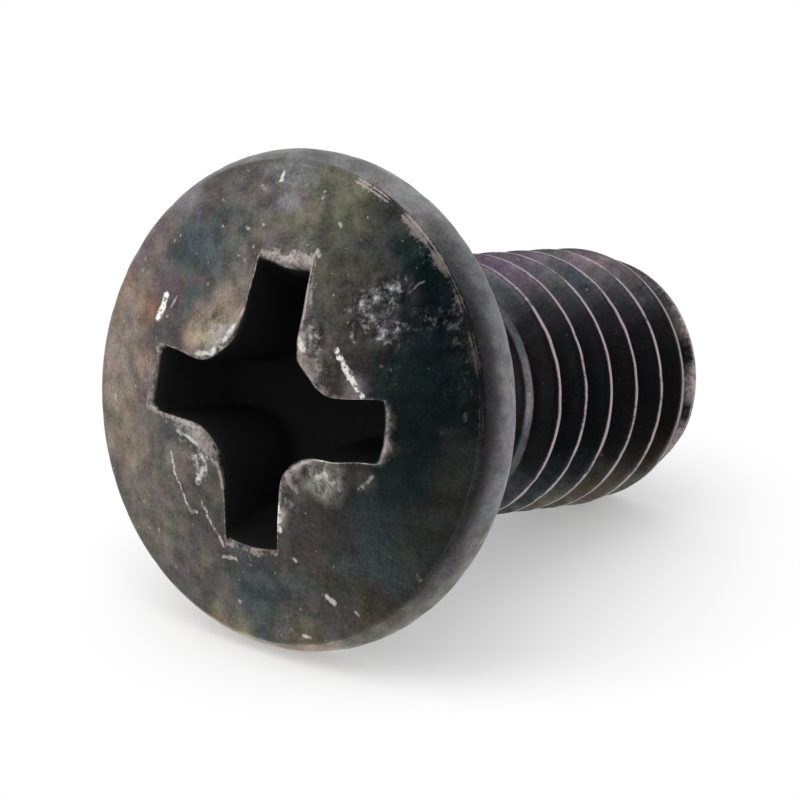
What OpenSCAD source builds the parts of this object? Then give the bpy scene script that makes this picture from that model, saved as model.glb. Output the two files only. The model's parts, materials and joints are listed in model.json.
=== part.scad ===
// Machine screw with a low domed head, a cross recess and a rolled right-hand thread.
// It lies at rest on its head's rim and the thread near its tip, with the tip towards +X.

/* [Head] */
// Diameter of the head at the widest part of its rim
head_d = 5.5; // [5:0.1:7]
// Height of the head from the bearing face to the top of the dome
head_h = 1.12; // [1:0.01:1.6]
// Height of the bulged rim from the bearing face to the edge of the dome
rim_h = 0.59; // [0.4:0.01:0.8]
// How far the rim bulges out past its edges at the dome and at the bearing face
rim_bulge = 0.115; // [0.05:0.005:0.18]

/* [Cross recess] */
// Reach of the wings across the recess, measured where they meet the dome
recess_d = 3.16; // [2.8:0.02:3.6]
// Width of a wing where it meets the dome
wing_w = 0.7; // [0.5:0.01:0.8]
// Radius of the corner between two wings at the same height
corner_r = 0.6; // [0.4:0.01:0.7]
// Diameter at which the wings reach the conical floor
floor_d = 2.29; // [1.8:0.01:2.4]
// Lean of the wing ends from the axis, in degrees
wing_end_lean = 26.5; // [22:0.5:32]
// Draft of the wing flanks, in degrees
flank_draft = 5.75; // [2:0.25:8]
// Slope of the conical floor from square to the axis, in degrees
floor_slope = 20; // [10:1:24]
// Turn of the recess about the axis, in degrees
recess_turn = -2.3; // [-45:0.1:45]

/* [Shank] */
// Major diameter of the thread
thread_d = 3; // [2.5:0.1:3.5]
// Pitch of the thread
pitch = 0.5; // [0.35:0.05:0.6]
// Length from the bearing face to the tip
length = 5.35; // [3:0.05:10]
// Length of the plain neck under the head
neck_h = 1.3; // [0.5:0.05:2]
// Radius of the fillet between the neck and the bearing face
neck_fillet = 0.25; // [0.1:0.01:0.3]
// Length over which the thread grows from the neck to its full depth
run_out = 1.15; // [0.2:0.05:2]
// How far the tip's taper cuts in from the crest at the end face
tip_inset = 0.15; // [0.05:0.01:0.3]
// Length of the tip's taper
tip_h = 0.6; // [0.1:0.05:1]
// Angle about the axis at which the crest runs out on the end face, in degrees
thread_turn = -158; // [-180:1:180]
// Straight sides around one turn of the thread
thread_sides = 48; // [24:4:60]

/* [Hidden] */
$fn = 96;
steel = "#2e2c2e";

// Dome: a sphere through the rim's upper edge and the top of the head
dome_h = head_h - rim_h;
dome_r = (pow(head_d / 2 - rim_bulge, 2) + pow(dome_h, 2)) / (2 * dome_h);
// Rim: an arc through both edges and the widest part
rim_r = (pow(rim_h / 2, 2) + pow(rim_bulge, 2)) / (2 * rim_bulge);
rim_centre_r = head_d / 2 - rim_r;

// Recess, on the axis that points from the dome to the tip, with the bearing face at 0
recess_top = -head_h + dome_r - sqrt(pow(dome_r, 2) - pow(recess_d / 2, 2));
recess_wall_h = (recess_d - floor_d) / 2 / tan(wing_end_lean);
recess_floor = recess_top + recess_wall_h;
recess_point = recess_floor + floor_d / 2 * tan(floor_slope);
// The cutting shapes start this far above the dome and end this far past the floor
overcut = 0.2;
cut_top = -head_h - overcut;
cut_end = recess_point + overcut;

// Thread of the 60 degree metric form
crest_flat = pitch / 8;
thread_depth = 0.61343 * pitch;
root_flat = pitch - crest_flat - 2 * thread_depth * tan(30);
major_r = thread_d / 2;
tip_r = major_r - tip_inset;
minor_r = major_r - thread_depth;
// The neck keeps the diameter of the blank that the thread was rolled on
neck_r = (thread_d - 0.6495 * pitch) / 2;
// The thread starts a little inside the neck
start_r = neck_r - 0.02;

turns = ceil((length - neck_h) / pitch) + 3;
// The thread's grid has 4 rows a turn: two edges of each crest and two of each root
rows = 4 * turns;
first_crest = length - pitch * (thread_turn / 360 + turns - 1);

// Rest: the tip sinks until the line from the rim's arc touches the lowest point of the thread
rest_tilt = min([for (row = [rows / 2 : rows])
    let (z = row_z(row, 0), rise = rim_centre_r - thread_r(z, 0), run = z + rim_h / 2)
    if (z > length / 2) atan2(rise, run) + asin(rim_r / norm([run, rise]))]);
rest_lift = rim_centre_r * cos(rest_tilt) - rim_h / 2 * sin(rest_tilt) + rim_r;
// The origin is in the middle of the box around the screw as it lies
dome_x = (dome_r - head_h) * cos(rest_tilt) - dome_r;
tip_x = length * cos(rest_tilt)
    + sin(rest_tilt) * max([for (step = [0 : thread_sides - 1])
        -cos(360 * step / thread_sides) * thread_r(length, step)]);
rest_shift = -(dome_x + tip_x) / 2;

// Half of the head's section, turned about the axis by the head
module head_section() {
    difference() {
        intersection() {
            union() {
                translate([rim_centre_r, -rim_h / 2]) circle(r = rim_r);
                translate([0, -head_h]) square([rim_centre_r, head_h]);
            }
            translate([0, -head_h]) square([head_d / 2, head_h]);
            translate([0, dome_r - head_h]) circle(r = dome_r, $fn = 360);
        }
        translate([-head_d, -head_h - overcut]) square([head_d, head_h + 2 * overcut]);
    }
}

// Neck with its fillet up to the bearing face
module neck_section() {
    difference() {
        square([neck_r + neck_fillet, neck_h]);
        translate([neck_r + neck_fillet, neck_fillet]) circle(r = neck_fillet);
        translate([neck_r, neck_fillet]) square([neck_fillet + overcut, neck_h]);
    }
}

// One quarter of the head's metal that stands between two wings
module island() {
    centre = wing_w / 2 + corner_r;
    top_inset = (recess_top - cut_top) * tan(flank_draft);
    end_inset = (cut_end - recess_top) * tan(flank_draft);
    wall = [
        [wing_w / 2 + top_inset, cut_top],
        [head_d, cut_top],
        [head_d, cut_end],
        [wing_w / 2 - end_inset, cut_end]
    ];
    translate([centre, centre, cut_top])
        cylinder(r1 = corner_r - top_inset, r2 = corner_r + end_inset, h = cut_end - cut_top);
    for (flip = [0, 1])
        mirror([flip, -flip, 0])
            translate([0, head_d + centre, 0])
                rotate([90, 0, 0])
                    linear_extrude(head_d) polygon(wall);
}

// What the punch leaves empty: a cross inside a tapered, pointed round
module recess() {
    top_r = recess_d / 2 + (recess_top - cut_top) * tan(wing_end_lean);
    difference() {
        rotate_extrude()
            polygon([[0, cut_top], [top_r, cut_top], [floor_d / 2, recess_floor], [0, recess_point]]);
        for (quarter = [0 : 3])
            rotate(90 * quarter) island();
    }
}

module head() {
    rotate_extrude() head_section();
    rotate_extrude() neck_section();
}

// Share of its full size that the thread has at a height, and the radii of its crest and root there
function grown(z) = min(max((z - neck_h) / run_out, 0), 1);
function crest_r(z) = start_r + (major_r - start_r) * grown(z);
function root_r(z) = start_r + (minor_r - start_r) * grown(z);

// Half widths of the crest's and the root's flats, which are wider while the thread grows
function crest_half(z) = crest_flat / 2 + (major_r - crest_r(z)) * tan(30);
function root_half(z) = root_flat / 2 + (root_r(z) - minor_r) * tan(30);

// Height of a grid row at a step around the turn, kept between the neck and the end face
function row_z(row, step) =
    let (crest_z = first_crest + pitch * (floor(row / 4) + step / thread_sides))
    let (crest = crest_half(crest_z), root = root_half(crest_z))
    let (free_z = crest_z + [-crest, crest, pitch / 2 - root, pitch / 2 + root][row % 4])
    min(max(free_z, neck_h), length);

// Radius of the thread's own form at a height, on one side of the turn
function form_r(z, step) =
    let (crest_z = first_crest + pitch * step / thread_sides)
    let (along = abs((z - crest_z) / pitch - round((z - crest_z) / pitch)) * pitch)
    let (down = (along - crest_flat / 2) / tan(30))
    major_r - min(max(down, 0), thread_depth);

// The same, with flat crests and shallow roots near the neck, and cut by the tip's taper
function thread_r(z, step) =
    let (taper_r = tip_r + tip_inset * (length - z) / tip_h)
    min(max(form_r(z, step), root_r(z)), crest_r(z), taper_r);

module thread() {
    steps = thread_sides;
    body_count = (rows + 1) * (steps + 1);
    start_ring = [for (step = [0 : steps - 1])
        let (turn = 360 * step / steps, r = thread_r(neck_h, step))
        [r * cos(turn), r * sin(turn), neck_h]];
    end_ring = [for (step = [0 : steps - 1])
        let (turn = 360 * step / steps, r = thread_r(length, step))
        [r * cos(turn), r * sin(turn), length]];
    body = [for (row = [0 : rows], step = [0 : steps])
        let (turn = 360 * step / steps, z = row_z(row, step), r = thread_r(z, step))
        [r * cos(turn), r * sin(turn), z]];
    points = concat(body, start_ring, end_ring, [[0, 0, neck_h], [0, 0, length]]);
    function corner(row, step) =
        row_z(row, step) <= neck_h ? body_count + step % steps
        : row_z(row, step) >= length ? body_count + steps + step % steps
        : step == steps ? (row + 4) * (steps + 1)
        : row * (steps + 1) + step;
    skin = [for (row = [0 : rows - 1], step = [0 : steps - 1])
        let (a = corner(row, step), b = corner(row + 1, step))
        let (c = corner(row + 1, step + 1), d = corner(row, step + 1))
        each [[a, b, c], [a, c, d]]];
    caps = [for (step = [0 : steps - 1])
        let (next = (step + 1) % steps, start = body_count, end = body_count + steps)
        each [[start + step, start + next, end + steps], [end + next, end + step, end + steps + 1]]];
    kept = [for (face = concat(skin, caps))
        if (face[0] != face[1] && face[1] != face[2] && face[2] != face[0]) face];
    polyhedron(points, kept);
}

module screw() {
    color(steel)
        translate([rest_shift, 0, rest_lift])
            rotate([0, 90 + rest_tilt, 0])
                difference() {
                    union() {
                        head();
                        thread();
                    }
                    rotate(recess_turn) recess();
                }
}

screw();
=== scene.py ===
# A dark plated machine screw with a cross recess, lying on its head's rim and its thread.
import json
import math

import bmesh
import bpy
from mathutils import Matrix, Vector, noise


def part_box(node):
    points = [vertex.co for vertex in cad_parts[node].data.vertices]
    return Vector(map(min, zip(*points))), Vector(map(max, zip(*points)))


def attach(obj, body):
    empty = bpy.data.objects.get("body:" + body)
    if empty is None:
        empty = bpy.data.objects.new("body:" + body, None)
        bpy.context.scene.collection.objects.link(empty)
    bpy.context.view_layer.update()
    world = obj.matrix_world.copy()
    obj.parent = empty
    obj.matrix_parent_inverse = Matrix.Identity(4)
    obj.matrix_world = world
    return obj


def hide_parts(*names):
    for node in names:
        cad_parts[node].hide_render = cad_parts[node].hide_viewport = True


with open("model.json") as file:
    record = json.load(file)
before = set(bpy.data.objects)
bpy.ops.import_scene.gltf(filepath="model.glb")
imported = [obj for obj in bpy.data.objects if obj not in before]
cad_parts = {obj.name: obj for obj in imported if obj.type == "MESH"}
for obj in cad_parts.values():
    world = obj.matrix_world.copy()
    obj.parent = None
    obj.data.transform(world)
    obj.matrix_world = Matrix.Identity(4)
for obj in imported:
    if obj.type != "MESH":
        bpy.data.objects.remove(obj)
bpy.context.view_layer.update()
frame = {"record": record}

mm = 0.001
columns = 320                  # lines of vertices around the axis, a multiple of 8

# The screw is modelled upright in millimetres: the dome looks up, the bearing face is at height 0
# and the shank hangs below it. X and Y are right and up for someone who looks at the head.
mounts = {mount["name"]: mount for mount in frame["record"]["mounts"]}
lowCorner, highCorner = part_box("screw")
headRadius = (highCorner.y - lowCorner.y) / 2 / mm
threadRadius = mounts["thread"]["dims"]["r_mm"]
shankLength = mounts["thread"]["dims"]["length_mm"]


def blend(start, end, share):
    return start + (end - start) * share


def smoothStep(value):
    share = min(max(value, 0), 1)
    return share * share * (3 - 2 * share)


def softMin(first, second, softness):
    overlap = max(softness - abs(first - second), 0) / softness
    return min(first, second) - overlap * overlap * softness / 4


def softMax(first, second, softness):
    return -softMin(-first, -second, softness)


def addObject(name, data):
    made = bpy.data.objects.new(name, data)
    bpy.context.scene.collection.objects.link(made)
    return made


def polar(reach, turn, height):
    return Vector((reach * math.cos(turn), reach * math.sin(turn), height))


# 1 in the middle, and less the further away
def falloff(away, width):
    return math.exp(-(away / width) ** 2)


# Degrees from a middle to a turn, on either side of it
def degreesFrom(middle, turn):
    return (math.degrees(turn) - middle + 180) % 360 - 180


# Distance across the head's face
def acrossFrom(spot, place):
    return math.hypot(place.x - spot[0], place.y - spot[1])


# The laying matrix turns the upright screw onto its rim, at the bearing face of the record
def layingMatrix():
    out = -Vector(mounts["bearing_face"]["axis"]).normalized()
    right = Vector((0, -1, 0))
    up = out.cross(right)
    turned = Matrix((right, up, out)).transposed().to_4x4()
    return Matrix.Translation(mounts["bearing_face"]["pos_m"]) @ turned @ Matrix.Scale(mm, 4)


head = {
    "height": 1.12,            # bearing face to the top of the dome
    "rimHeight": 0.59,
    "rimBulge": 0.115,
    "edgeRound": 0.035,        # softness of the edge between dome and rim
    "baseRound": 0.03,         # softness of the edge between rim and bearing face
    "neckFillet": 0.25,
    "domeRings": 56,
    "rimRings": 18,
    "waviness": 0.004,         # how far the dome's surface wanders, for its uneven sheen
    "nickDepth": 0.006,        # how far the rim's small nicks go in
    "crumple": 0.013,          # height of the crumpled metal where the dome is scuffed
    "rubTurn": 40,             # where the dome's edge is painted bright as a highlight, in degrees
    "rubSpread": 50,
    "rubLine": 0.022,          # width of the painted highlight line, and of the flecks beside it
    "rubFlecks": 0.11,
    "fleckShare": 0.55,        # how strong the flecks are beside the line
    "rubLeast": 0.12,          # how much it is rubbed elsewhere
    "baseRub": 1.0,            # how bright the edge at the bearing face is painted, as a highlight
    "baseRubWidth": 0.05,      # on the rim's side, and on the underside
    "underRubWidth": 0.03,
}
rimRadius = ((head["rimHeight"] / 2) ** 2 + head["rimBulge"] ** 2) / (2 * head["rimBulge"])
rimCentre = headRadius - rimRadius
domeEdge = headRadius - head["rimBulge"]
domeRise = head["height"] - head["rimHeight"]
domeRadius = (domeEdge ** 2 + domeRise ** 2) / (2 * domeRise)


def domeHeight(reach):
    return head["height"] - domeRadius + math.sqrt(domeRadius ** 2 - reach ** 2)


recess = {
    "span": 3.16,              # across the wings, where they meet the dome
    "wingWidth": 0.7,
    "cornerRadius": 0.6,       # between two wings
    "floorSpan": 2.29,
    "endLean": math.radians(26.5),
    "draft": math.radians(5.75),
    "floorSlope": math.radians(20),
    "turn": math.radians(2.3),
    "wingCorner": 0.10,        # softness of the corners at a wing's end
    "lipOut": 0.06,            # how far the worn lip spreads over the dome
    "lipDown": 0.05,           # how far it goes down the wall
    "burr": 0.0,               # how high the pushed-up metal stands beside the lip
    "rub": 0.05,               # how far the plating is rubbed off beside the lip
    "bare": 0.48,              # how much of it is rubbed off
    "burrWidth": 0.05,
    "jitter": 0.35,            # how unevenly the lip is worn along its line
    "hub": 0.1,                # radius of the first ring round the floor's point
    "floorRings": 5,
    "wallRings": 12,
    "lipRings": 9,
}
# Where a driver has slipped: turn and spread in degrees, then what is added to these values above
lipValues = ("lipOut", "lipDown", "burr", "rub", "bare")
wornLips = [
    (45, 16, 0.06, 0.05, 0.010, 0.10, 0.12),
    (68, 11, 0.09, 0.05, 0.002, 0.11, 0.08),
    (90, 13, 0.05, 0.03, 0.008, 0.06, 0.1),
    (135, 16, 0.08, 0.06, 0.014, 0.10, 0.12),
    (180, 14, 0.02, 0.02, 0.012, 0.05, -0.1),
    (218, 26, 0.11, 0.09, 0.020, 0.08, 0.1),
    (314, 17, 0.08, 0.06, 0.014, 0.14, 0.15),
    (360, 12, 0.06, 0.03, 0.008, 0.05, 0.0),
]
# Metal that the driver has pushed over the recess: place, size and push in millimetres
smears = [
    ((0.92, 0.40), 0.45, (-0.03, -0.12)),
    ((-0.95, 0.38), 0.28, (0.0, -0.055)),
    ((0.42, -0.62), 0.22, (-0.03, 0.02)),
    ((0.45, 0.64), 0.20, (-0.06, -0.02)),
    ((0.98, -0.36), 0.28, (0.0, -0.065)),
    ((0.0, 1.58), 0.30, (0.0, -0.09)),
    ((-1.58, 0.0), 0.35, (0.06, 0.0)),
]
# Shallow dents around the recess: place, size and depth in millimetres
dents = [
    ((-0.72, 0.78), 0.22, 0.030),
    ((-0.95, 0.56), 0.16, 0.014),
    ((-0.76, -0.92), 0.24, 0.034),
    ((-0.98, -1.22), 0.16, 0.012),
    ((0.62, 0.78), 0.14, 0.012),
    ((0.56, -0.90), 0.15, 0.012),
    ((1.18, 1.18), 0.30, 0.010),
    ((-1.72, 0.66), 0.10, 0.008),
]
# Where the dome is scuffed: right and up on the head's face, how wide, and how densely
scuffs = [
    ((1.15, 1.30), 0.36, 1.0),
    ((1.38, 1.60), 0.22, 0.7),
    ((1.44, 1.08), 0.20, 0.9),
    ((1.60, 0.70), 0.20, 0.4),
    ((1.74, 1.30), 0.24, 0.6),
    ((2.06, 1.46), 0.28, 0.85),
    ((2.28, 1.08), 0.28, 0.75),
    ((2.38, 0.66), 0.24, 0.6),
    ((1.55, 1.98), 0.20, 0.5),
    ((0.55, 0.84), 0.22, 1.0),
    ((0.75, 0.50), 0.22, 0.6),
    ((-0.72, 0.66), 0.32, 0.9),
    ((-0.47, 0.50), 0.14, 0.8),
    ((-0.55, 1.35), 0.22, 0.6),
    ((-0.72, -0.85), 0.26, 1.0),
    ((-0.50, -1.30), 0.18, 0.6),
    ((-1.05, -0.55), 0.20, 0.9),
    ((0.98, -0.60), 0.26, 1.0),
    ((0.48, -1.02), 0.16, 1.0),
    ((0.05, 1.72), 0.24, 0.6),
    ((-1.70, -0.05), 0.20, 0.7),
    ((1.68, -0.05), 0.15, 0.7),
    ((0.0, -1.75), 0.22, 0.6),
]
recessTop = domeHeight(recess["span"] / 2)
recessFloor = recessTop - (recess["span"] - recess["floorSpan"]) / 2 / math.tan(recess["endLean"])
recessPoint = recessFloor - recess["floorSpan"] / 2 * math.tan(recess["floorSlope"])


# How far the recess's wall is from the axis, at a turn from a wing and a depth below its edge
def recessReach(turn, depth):
    quarter = math.pi / 2
    fold = abs((turn + quarter / 2) % quarter - quarter / 2)
    inset = depth * math.tan(recess["draft"])
    end = recess["span"] / 2 - depth * math.tan(recess["endLean"])
    centre = recess["wingWidth"] / 2 + recess["cornerRadius"]
    corner = recess["cornerRadius"] + inset
    side = (recess["wingWidth"] / 2 - inset) / max(math.sin(fold), 0.01)
    if fold > math.atan2(recess["wingWidth"] / 2 - inset, centre):
        middle = centre * (math.cos(fold) + math.sin(fold))
        side = middle - math.sqrt(max(middle ** 2 - 2 * centre ** 2 + corner ** 2, 0))
    return softMin(end, side, recess["wingCorner"])


# Turns from a wing that stand evenly spaced along the recess's outline, one for each column
def outlineTurns():
    fine = 16 * columns
    turns = [2 * math.pi * step / fine for step in range(fine + 1)]
    points = [polar(recessReach(turn, 0), turn, 0) for turn in turns]
    walked = [0]
    for before, after in zip(points, points[1:]):
        walked.append(walked[-1] + (after - before).length)
    found = []
    step = 0
    for column in range(columns):
        goal = walked[-1] * column / columns
        while walked[step + 1] < goal:
            step += 1
        share = (goal - walked[step]) / (walked[step + 1] - walked[step])
        found.append(blend(turns[step], turns[step + 1], share))
    return found


wingTurns = outlineTurns()
evenTurns = [2 * math.pi * column / columns for column in range(columns)]


def lipAt(turn):
    uneven = 1 + recess["jitter"] * noise.noise(polar(1, turn, 0) * 9)
    found = {name: recess[name] for name in lipValues}
    for middle, spread, *added in wornLips:
        near = falloff(degreesFrom(middle, turn), spread)
        for name, more in zip(lipValues, added):
            found[name] += more * near
    return {name: value * uneven for name, value in found.items()}


# Height of waves, dents and crumpled metal over the smooth dome, mostly a little below it
def domeRelief(place):
    wave = noise.noise(place * 1.7) + noise.noise(place * 6) / 3
    height = head["waviness"] * (wave - 1.4)
    for spot, size, depth in dents:
        away = acrossFrom(spot, place) / size
        height -= depth * math.exp(-away * away * 2)
    for spot, size, amount in scuffs:
        away = acrossFrom(spot, place) / size
        if away < 1.3:
            crumple = noise.noise(place * 8) + noise.noise(place * 19) / 2
            height += head["crumple"] * amount * smoothStep(1.3 - away) * (crumple - 0.6)
    return height


# Moves a point of the lip or the dome with the smeared metal, and less the deeper it is
def smeared(point):
    depth = smoothStep((point.z - recessFloor) / (recessTop - recessFloor))
    moved = point.copy()
    for spot, size, push in smears:
        share = falloff(acrossFrom(spot, point), size) * depth
        moved.x += push[0] * share
        moved.y += push[1] * share
    moved.z += (domeHeight(moved.xy.length) - domeHeight(point.xy.length)) * depth
    return moved


# How bright the dome's edge is painted at a turn: a little wear all round, and a painted highlight
# towards the highlight's turn
def edgeWearAndHighlight(turn):
    patchy = 0.7 + 0.9 * noise.noise(polar(2.5, turn, 0) * 3.4)
    near = falloff(degreesFrom(head["rubTurn"], turn), head["rubSpread"])
    return patchy * blend(head["rubLeast"], 1, near)


# One more ring on the open edge: place gives each column's point and how bright it is painted, for wear
# and painted highlight
def growRing(bm, edges, layers, zone, place):
    grown = bmesh.ops.extrude_edge_only(bm, edges=edges)["geom"]
    for item in grown:
        if isinstance(item, bmesh.types.BMVert):
            item.co, item[layers["rubbed"]] = place(item[layers["column"]])
    ring = [item for item in grown if isinstance(item, bmesh.types.BMEdge)]
    for edge in ring:
        edge.link_faces[0].material_index = zone
    return ring


domeZone, rimZone, recessZone, threadZone = range(4)


# Sizes of the recess and its lip at each column, and the column's turn there and further out
def recessColumns():
    found = []
    for wing, even in zip(wingTurns, evenTurns):
        turn = wing + recess["turn"]
        edge = recessReach(wing, 0)
        floor = recess["floorSpan"] / 2
        for _ in range(6):     # settles where the wall meets the dome and the floor
            edge = recessReach(wing, recessTop - domeHeight(edge))
            floor = recessReach(wing, recessTop - recessPoint - floor * math.tan(recess["floorSlope"]))
        side = {"wing": wing, "turn": turn, "even": even + recess["turn"], "edge": edge, "floor": floor}
        side.update(lipAt(turn))
        side["lipTop"] = edge + side["lipOut"]
        side["lipFoot"] = domeHeight(edge) - side["lipDown"]
        found.append(side)
    return found


def floorHeight(reach):
    return recessPoint + reach * math.tan(recess["floorSlope"])


# A rounded corner: the curve from start to end that leans towards the middle
def rounded(start, middle, end, share):
    return blend(blend(start, middle, share), blend(middle, end, share), share)


# Floor, walls and lip of the recess, ring by ring from the floor's point outwards
def buildRecess(bm, layers, sides):
    hub = recess["hub"]
    bmesh.ops.create_circle(bm, cap_ends=True, cap_tris=True, segments=columns, radius=hub)
    rim = [vert for vert in bm.verts if vert.co.length > hub / 2]
    rim.sort(key=lambda vert: math.atan2(vert.co.y, vert.co.x) % (2 * math.pi))
    for vert in bm.verts:
        vert.co.z = recessPoint
    for column, vert in enumerate(rim):
        vert[layers["column"]] = column
        vert.co = polar(hub, sides[column]["turn"], floorHeight(hub))
    for face in bm.faces:
        face.material_index = recessZone
    ring = [edge for edge in bm.edges if len(edge.link_faces) == 1]

    for step in range(1, recess["floorRings"] + 1):
        def onFloor(column):
            side = sides[column]
            reach = blend(hub, side["floor"], step / recess["floorRings"])
            return polar(reach, side["turn"], floorHeight(reach)), 0
        ring = growRing(bm, ring, layers, recessZone, onFloor)

    for step in range(1, recess["wallRings"] + 1):
        def onWall(column):
            side = sides[column]
            height = blend(floorHeight(side["floor"]), side["lipFoot"], step / recess["wallRings"])
            return smeared(polar(recessReach(side["wing"], recessTop - height), side["turn"], height)), 0
        ring = growRing(bm, ring, layers, recessZone, onWall)

    for step in range(1, recess["lipRings"] + 1):
        share = step / recess["lipRings"]

        def onLip(column):
            side = sides[column]
            foot = recessReach(side["wing"], recessTop - side["lipFoot"])
            reach = rounded(foot, side["edge"], side["lipTop"], share)
            height = rounded(side["lipFoot"], domeHeight(side["edge"]), domeHeight(side["lipTop"]), share)
            point = smeared(polar(reach, side["turn"], height))
            point.z += (domeRelief(point) + side["burr"]) * smoothStep(share)
            return point, side["bare"] * smoothStep(share * 3 - 1)
        ring = growRing(bm, ring, layers, recessZone if share < 0.5 else domeZone, onLip)
    return ring


def buildDome(bm, layers, sides, ring):
    last = domeEdge - head["edgeRound"]
    for step in range(1, head["domeRings"] + 1):
        share = (step / head["domeRings"]) ** 1.2      # closer rings beside the lip

        def onDome(column):
            side = sides[column]
            reach = blend(side["lipTop"], last, share)
            turn = blend(side["turn"], side["even"], smoothStep(share * 1.3))
            point = smeared(polar(reach, turn, domeHeight(reach)))
            away = reach - side["lipTop"]
            fade = 1 - smoothStep((reach - last + 0.2) / 0.2)
            relief = domeRelief(point) * blend(0.25, 1, fade)
            point.z += side["burr"] * falloff(away, recess["burrWidth"]) + relief
            lip = side["bare"] * falloff(away, side["rub"])
            # The crown edge's bright line and its flecks are painted highlight, with a little wear
            line = falloff(last - reach, head["rubLine"])
            flecks = head["fleckShare"] * falloff(last - reach, head["rubFlecks"])
            return point, max(lip, edgeWearAndHighlight(turn) * max(line, flecks))
        ring = growRing(bm, ring, layers, domeZone, onDome)
    return ring


# The rim and the underside: one chain of (reach, height) from the dome's edge to the end of the neck
def rimChain():
    chain = []
    spread = math.asin(head["rimHeight"] / 2 / rimRadius)
    trim = head["edgeRound"] / rimRadius
    edgeAt = Vector((domeEdge, head["rimHeight"]))
    domeSide = Vector((domeEdge - head["edgeRound"], domeHeight(domeEdge - head["edgeRound"])))
    rimSide = Vector((rimCentre + rimRadius * math.cos(spread - trim),
                      head["rimHeight"] / 2 + rimRadius * math.sin(spread - trim)))
    for share in (0.25, 0.5, 0.75):
        chain.append(rounded(domeSide, edgeAt, rimSide, share))
    for step in range(head["rimRings"] + 1):
        angle = blend(spread - trim, -spread + trim, step / head["rimRings"])
        chain.append(Vector((rimCentre + rimRadius * math.cos(angle),
                             head["rimHeight"] / 2 + rimRadius * math.sin(angle))))
    base = Vector((domeEdge, 0))
    foot = Vector((domeEdge - head["baseRound"], 0))
    above = chain[-1]
    for share in (0.25, 0.5, 0.75, 1):
        chain.append(rounded(above, base, foot, share))
    filletEnd = neckRadius + head["neckFillet"]
    for share in (0.2, 0.4, 0.6, 0.8, 1):
        chain.append(foot.lerp(Vector((filletEnd, 0)), share))
    for step in range(1, 7):
        angle = math.pi / 2 * step / 6
        chain.append(Vector((filletEnd - head["neckFillet"] * math.sin(angle),
                             -head["neckFillet"] * (1 - math.cos(angle)))))
    for share in (0.35, 0.7, 1):
        chain.append(Vector((neckRadius, blend(-head["neckFillet"], -thread["neck"], share))))
    return chain


def buildRim(bm, layers, sides, ring):
    for spot in rimChain():
        def onRim(column):
            point = polar(spot.x, sides[column]["even"], spot.y)
            if spot.y > -0.01 and spot.x > domeEdge - 0.01:
                point.xy *= 1 - head["nickDepth"] / spot.x * smoothStep(noise.noise(point * 5) * 2)
            # The crown edge and the bearing edge are painted bright here, as highlights
            top = (spot - Vector((domeEdge, head["rimHeight"]))).length
            base = (spot - Vector((domeEdge, 0))).length
            width = head["baseRubWidth"] if spot.y > 0.001 else head["underRubWidth"]
            topHighlight = edgeWearAndHighlight(sides[column]["even"]) * falloff(top, head["rubLine"])
            return point, max(topHighlight, head["baseRub"] * falloff(base, width))
        zone = rimZone if spot.y > -head["neckFillet"] else threadZone
        ring = growRing(bm, ring, layers, zone, onRim)


thread = {
    "pitch": 0.5,
    "neck": 1.3,               # bearing face to where the thread starts
    "runOut": 1.15,            # length over which it grows to its full depth
    "tipInset": 0.15,          # the taper at the tip
    "tipHeight": 0.6,
    "crestAt": -4.569,         # height of a crest straight below the axis as the screw lies
    "crestRound": 0.012,
    "rootRound": 0.10,
    "neckRound": 0.01,         # where the growing crest meets the full one
    "taperRound": 0.02,
    "rows": 16,                # lines of vertices along one pitch
    "wobble": 0.008,           # how far a crest's line wanders along the axis
    "wear": 0.006,             # how far it is worn down in places
    "rubDepth": 0.03,          # how far down and to each side a crest is painted bright, as wear and highlight
    "rubSide": 0.029,
    "newCrestRub": 0.35,       # how bright the first, flatter crest is
    "tipRub": 0.6,             # how bright the edge of the end face is painted, and how far up
    "tipRubWidth": 0.13,
    "tipDish": 0.02,           # depth of the end face's hollow
}
crestFlat = thread["pitch"] / 8
threadDepth = 0.61343 * thread["pitch"]
neckRadius = threadRadius - 0.6495 * thread["pitch"] / 2
flankSlope = math.tan(math.radians(30))


def crestHeight(turn):
    return thread["crestAt"] + thread["pitch"] * (turn / (2 * math.pi) + 0.25)


# Depth below the crest at a distance from its middle, with a worn crest edge and a rounded root
def formDepth(along):
    flank = (along - crestFlat / 2) / flankSlope
    return softMin(softMax(flank, 0, thread["crestRound"]), threadDepth, thread["rootRound"])


# Distance along the axis to the nearest crest
def crestAway(offset):
    return abs((offset + thread["pitch"] / 2) % thread["pitch"] - thread["pitch"] / 2)


def taperReach(height):
    return threadRadius - thread["tipInset"] * (1 - (height + shankLength) / thread["tipHeight"])


def threadReach(height, turn):
    place = polar(threadRadius, turn, height)
    along = crestAway(height - crestHeight(turn) + thread["wobble"] * noise.noise(place * 3.1))
    grown = min(max((-thread["neck"] - height) / thread["runOut"], 0), 1)
    crest = blend(neckRadius, threadRadius, grown)
    root = blend(neckRadius, threadRadius - threadDepth, grown)
    worn = thread["wear"] * smoothStep(noise.noise(place * 4.3) * 2)
    reach = max(softMin(threadRadius - formDepth(along), crest, thread["neckRound"]), root)
    return softMin(reach - worn * grown, taperReach(height), thread["taperRound"])


# How bright a point of the thread is painted: along the crests and round the end face, partly wear and
# partly painted highlight
def threadWearAndHighlight(place, turn):
    grown = (-thread["neck"] - place.z) / thread["runOut"]
    crest = min(blend(neckRadius, threadRadius, min(grown, 1)), taperReach(place.z))
    along = crestAway(place.z - crestHeight(turn))
    rubbed = smoothStep(1 - (crest - place.xy.length) / thread["rubDepth"])
    rubbed *= smoothStep(1.5 - along / thread["rubSide"])
    rubbed *= 0.78 + 0.5 * noise.noise(place * 2.3)
    rubbed *= blend(thread["newCrestRub"], 1, smoothStep(grown * 4 - 3))
    return max(rubbed, thread["tipRub"] * falloff(place.z + shankLength, thread["tipRubWidth"]))


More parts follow.
